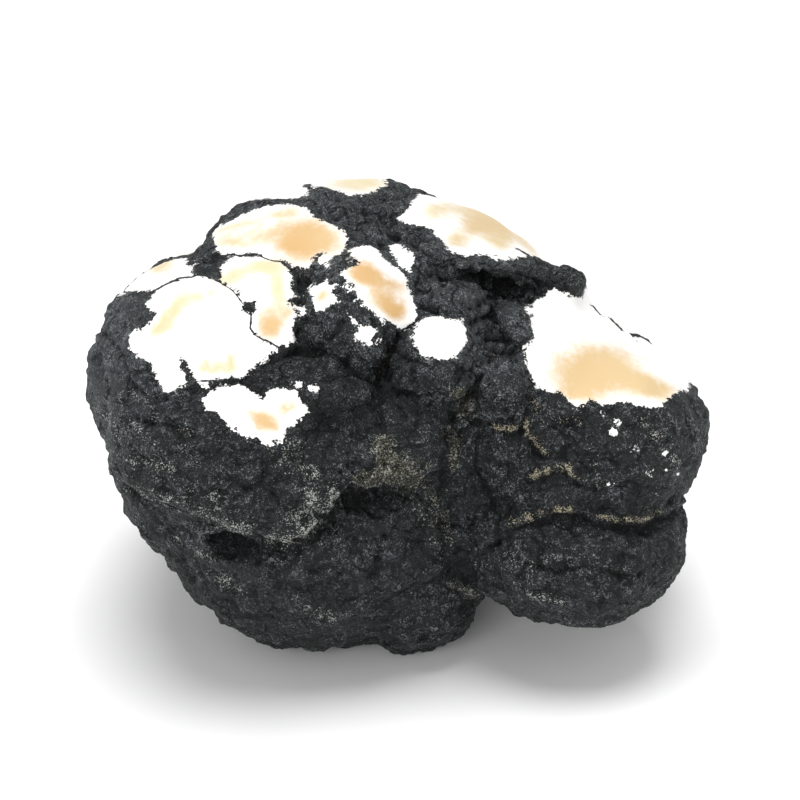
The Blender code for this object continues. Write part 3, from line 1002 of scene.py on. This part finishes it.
def window_edge(graph, place):
    """Millimetres inside the windows' ragged edge, and the mask of the windows."""
    edge = graph.attribute("window")
    for size, detail, roughness, amount in EDGE_TEETH:
        edge = edge + swing(graph.noise(place, size, detail, roughness), amount)
    return edge, graph.between(edge, -0.05, 0.05)


def open_cracks(graph, place):
    """Mask of the cracks across the windows, of uneven width."""
    crack = graph.maths("ABSOLUTE", graph.attribute("crack"))
    crack = crack + swing(graph.noise(place, 0.5, 2.0), 2.2)
    near = 1 - graph.between(graph.attribute("crack_gap"), 0.4, 0.7)
    return (1 - graph.between(crack, 0.6, 1.3)) * near


def window_colour(graph, place, edge, colours):
    """Chalk with warm spots, stained in places along the edge."""
    strength = graph.attribute("tan") * 1.08
    strength = strength + swing(graph.noise(place, 2.6, 4.0, 0.65), 0.7)
    strength = strength + swing(graph.noise(place, 0.9, 4.0, 0.7), 0.45)
    warm = graph.mix(graph.attribute("tan_red"), colours.cream, colours.honey)
    colour = graph.mix(graph.between(strength, 0.05, 0.95), colours.chalk, warm)
    stain = 1 - graph.between(edge, 0.0, 0.6)
    stain = stain * graph.between(graph.noise(place, 0.5, 3.0), 0.5, 0.7)
    return graph.mix(stain * 0.35, colour, EDGE_STAIN)


class Skin:
    """The grown skin: its grain, and its colour, laid on in layers that follow the grain, with
    painted shade last.
    """

    def __init__(self, graph, place, colours):
        self.graph = graph
        self.place = place
        self.colours = colours
        self.hollow = graph.attribute("hollow")
        self.stand = graph.between(0 - self.hollow, -0.06, 0.1)
        self.mottle = graph.noise(place, 4.0, 4.0, 0.6)
        self.patch = graph.noise(place, 1.5, 2.0)
        self.grain = graph.noise(place, 0.42, 3.0, 0.8)
        self.fine = graph.noise(place, 0.19, 1.0, 0.6)
        self.crumb = self.fine + swing(self.grain, 0.6)
        coarse = graph.noise(place, 1.3, 4.0, 0.7)
        self.height = swing(coarse, 1.2) + swing(self.grain, 1.8) + swing(self.fine, 1.6)
        self.specks_and_glints = self.pale_specks_and_glints()
        self.fissures = self.open_fissures()

    def pale_specks_and_glints(self):
        """Mask of single pale specks, in swarms, which partly stand for painted glints."""
        swarm = self.graph.between(self.graph.noise(self.place, 2.2, 3.0, 0.7), 0.52, 0.68)
        return self.graph.between(self.crumb, 0.68, 0.76) * swarm

    def open_fissures(self):
        """Mask of the fine fissures between the skin's crumbs, open in places only."""
        graph = self.graph
        swayed = graph.out("ShaderNodeVectorMath", {"operation": "MULTIPLY_ADD"},
                           _0=graph.noise(self.place, 1.6, 2.0, output="Color"),
                           _1=(2.2, 2.2, 2.2), _2=self.place)
        fissure = 1 - graph.between(graph.cell_edges(swayed, 3.4), 0.015, 0.09)
        return fissure * graph.between(graph.noise(self.place, 2.8, 2.0), 0.44, 0.54)

    def bare(self):
        """Near black in its pits and fissures, paler where it stands out, with pale specks that
        are partly painted glints.
        """
        graph = self.graph
        rough = graph.attribute("rough")
        dusty = graph.attribute("dusty")
        pale = graph.between(self.height, 0.0, 0.55)
        pale = pale * (0.5 + self.stand * 0.5 + rough * 0.5 + dusty)
        pale = pale * (0.36 + graph.between(self.mottle, 0.42, 0.6))
        pale = pale + rough * 0.03 + dusty * 0.14 + 0.02
        colour = graph.mix(pale, self.colours.skin_dark, self.colours.skin_pale)
        # Pale specks, partly painted glints.
        colour = graph.mix(self.specks_and_glints * 0.8, colour, SPECK_AND_GLINT)
        return graph.mix(self.fissures * 0.85, colour, FISSURE_AND_SHADE_BLACK)

    def dusted(self, colour):
        """Wisps of dust drawn out along the wrinkles, and dust gathered in its own places."""
        graph = self.graph
        drawn = graph.out("ShaderNodeVectorMath", {"operation": "MULTIPLY"}, _0=self.place,
                          _1=(0.35, 0.8, 1.3))
        wisp = graph.noise(drawn, 1.3, 4.0, 0.65, 1.5)
        veil = graph.between(wisp, 0.53, 0.66) * graph.between(self.height, -0.05, 0.25)
        colour = graph.mix(veil * 0.45, colour, DUST_VEIL)
        share = graph.attribute("dust") * 0.9 + self.stand * 0.1
        share = share + swing(wisp, 1.2) + swing(self.patch, 1.2)
        share = share + swing(self.fine, 2.0) + swing(self.grain, 1.6)
        dust = graph.mix(graph.between(self.crumb, 0.45, 0.6), DUST_SHADE,
                         self.colours.dust_grey)
        return graph.mix(graph.between(share, 0.68, 1.0) * 0.9, colour, dust)

    def gritted(self, colour):
        """Olive crust in the valley and the deep pockets, and beige grit on the lips."""
        graph = self.graph
        crumbs = swing(self.fine, 2.0) + swing(self.grain, 1.6) + swing(self.patch, 2.0)
        pockets = graph.between(self.hollow, 0.1, 0.35) * graph.between(self.mottle, 0.52, 0.66)
        share = graph.attribute("grit_olive") + pockets * 0.4
        olive = graph.between(share + crumbs, 0.42, 0.8) * graph.between(share, 0.02, 0.2)
        crust = graph.mix(graph.between(self.height, -0.35, 0.45), OLIVE_SHADE,
                          self.colours.grit_olive)
        crust = graph.mix(graph.between(self.height, 0.05, 0.5), crust, OLIVE_CRUMB)
        colour = graph.mix(olive * 0.9, colour, crust)
        share = graph.attribute("grit_beige")
        beige = graph.between(share + crumbs, 0.68, 0.9) * graph.between(share, 0.05, 0.3)
        grit = graph.mix(graph.between(self.fine, 0.42, 0.6), BEIGE_SHADE,
                         self.colours.grit_beige)
        return graph.mix(beige, colour, grit)

    def with_painted_shade(self, colour):
        """Painted shade: black towards the bottom of hollows and in the painted shade spots."""
        kept = 1 - self.graph.between(self.hollow, 0.02, 0.3) * 0.75
        kept = kept * (1 - self.graph.attribute("painted_shade") * 0.6)
        return self.graph.mix(kept, FISSURE_AND_SHADE_BLACK, colour)


def stone_material(colours, shape):
    """Ground windows and grown skin in one material. Its relief is in millimetres."""
    graph = Graph("howlite")
    place = graph.out("ShaderNodeVectorMath", {"operation": "SCALE"}, Scale=1 / MM,
                      _0=graph.out("ShaderNodeTexCoord", output="Object"))
    edge, ground = window_edge(graph, place)
    cracked = open_cracks(graph, place)
    white = ground * (1 - cracked)
    skin = Skin(graph, place, colours)
    # The skin's colour in layers, with painted shade in the hollows last.
    skin_colour = skin.with_painted_shade(skin.gritted(skin.dusted(skin.bare())))
    relief = skin.height * 1.8 - skin.fissures * 2.4
    relief = relief * (1 - white) - (1 - white) * 0.5 - cracked * 1.2
    graph.finish(
        Base_Color=graph.mix(white, skin_colour, window_colour(graph, place, edge, colours)),
        Roughness=0.62 - white * 0.15 - skin.specks_and_glints * 0.2,
        Specular_IOR_Level=shape.sheen,
        Normal=graph.out("ShaderNodeBump", output="Normal", Strength=1.0,
                         Distance=shape.grain, Height=relief))
    return graph.material


class HOWLITE_OT_stone(bpy.types.Operator):
    """Make the stone's finished surface in place of the CAD node"""

    bl_idname = "howlite.stone"
    bl_label = "Finished Stone"

    def execute(self, context):
        shape = context.scene.howlite_stone
        noise.seed_set(NOISE_SEED)
        stone = fine_copy(shape)
        bring_out(stone, shape)
        grind_windows(stone, Fields(stone.data).window())
        carve_skin(stone.data, shape)
        thin_out(stone, shape.triangles)
        store_fields(stone)
        stone.data.shade_smooth()
        stone.data.materials.clear()
        stone.data.materials.append(stone_material(context.scene.howlite_colours, shape))
        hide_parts(NODE)
        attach(stone, BODY)
        return {"FINISHED"}


class HOWLITE_OT_studio(bpy.types.Operator):
    """Set the floor, the soft lights and the photograph's camera"""

    bl_idname = "howlite.studio"
    bl_label = "Studio"

    def execute(self, context):
        studio = context.scene.howlite_studio
        scene = context.scene
        floor = make_floor(studio.floor_width)
        make_soft_light("soft top light", studio.top_light, (0, 0))
        make_soft_light("soft front light", studio.front_light, FRONT_LIGHT_TURN)
        make_world(scene, studio.fill_light)
        scene.camera = make_camera()
        scene.view_settings.view_transform = "Standard"
        return {"FINISHED"}


def make_floor(width):
    """A square of white paper."""
    mesh = bpy.data.meshes.new("studio_floor")
    half = width / 2
    corners = [(-half, -half, 0), (half, -half, 0), (half, half, 0), (-half, half, 0)]
    mesh.from_pydata(corners, [], [(0, 1, 2, 3)])
    graph = Graph("white paper")
    graph.finish(Base_Color=(*FLOOR_WHITE, 1.0), Roughness=0.9)
    mesh.materials.append(graph.material)
    return placed("studio_floor", mesh)


def make_soft_light(name, strength, turn):
    """A broad light from afar, turned about X and Y from straight overhead."""
    light = bpy.data.lights.new(name, "SUN")
    light.energy = strength
    light.angle = math.radians(LIGHT_BREADTH)
    placed(name, light).rotation_euler = (math.radians(turn[0]), math.radians(turn[1]), 0)


def make_world(scene, strength):
    """Even white light from all round."""
    world = bpy.data.worlds.new("studio")
    world.use_nodes = True
    background = world.node_tree.nodes["Background"]
    background.inputs["Color"].default_value = (1, 1, 1, 1)
    background.inputs["Strength"].default_value = strength
    scene.world = world


def make_camera():
    """The camera at the photograph's angle."""
    data = bpy.data.cameras.new("photograph's view")
    data.lens = VIEW_LENS_MM
    data.sensor_width = VIEW_SENSOR_MM
    camera = placed("photograph's view", data)
    camera.location = Vector(View.eye * MM)
    camera.rotation_euler = (math.pi / 2 - VIEW_ELEVATION, 0, 0)
    return camera


class HOWLITE_PT_panel(bpy.types.Panel):
    """Sizes, colours and steps of the nodule"""

    bl_idname = "HOWLITE_PT_panel"
    bl_label = "Howlite Nodule"
    bl_space_type = "VIEW_3D"
    bl_region_type = "UI"
    bl_category = "Howlite"

    def draw(self, context):
        layout = self.layout
        for name in GROUPS:
            group = getattr(context.scene, name)
            for key in group.bl_rna.properties.keys():
                if key not in ("rna_type", "name"):
                    layout.prop(group, key)
        layout.operator(HOWLITE_OT_stone.bl_idname)
        layout.operator(HOWLITE_OT_studio.bl_idname)


GROUPS = {
    "howlite_stone": HowliteStone,
    "howlite_colours": HowliteColours,
    "howlite_studio": HowliteStudio,
}
CLASSES = (*GROUPS.values(), HOWLITE_OT_stone, HOWLITE_OT_studio, HOWLITE_PT_panel)


def register():
    for item in CLASSES:
        bpy.utils.register_class(item)
    for name, group in GROUPS.items():
        setattr(bpy.types.Scene, name, bpy.props.PointerProperty(type=group))


def unregister():
    for name in GROUPS:
        delattr(bpy.types.Scene, name)
    for item in reversed(CLASSES):
        bpy.utils.unregister_class(item)


def main():
    register()
    bpy.ops.howlite.stone()
    bpy.ops.howlite.studio()


if __name__ == "__main__":
    main()
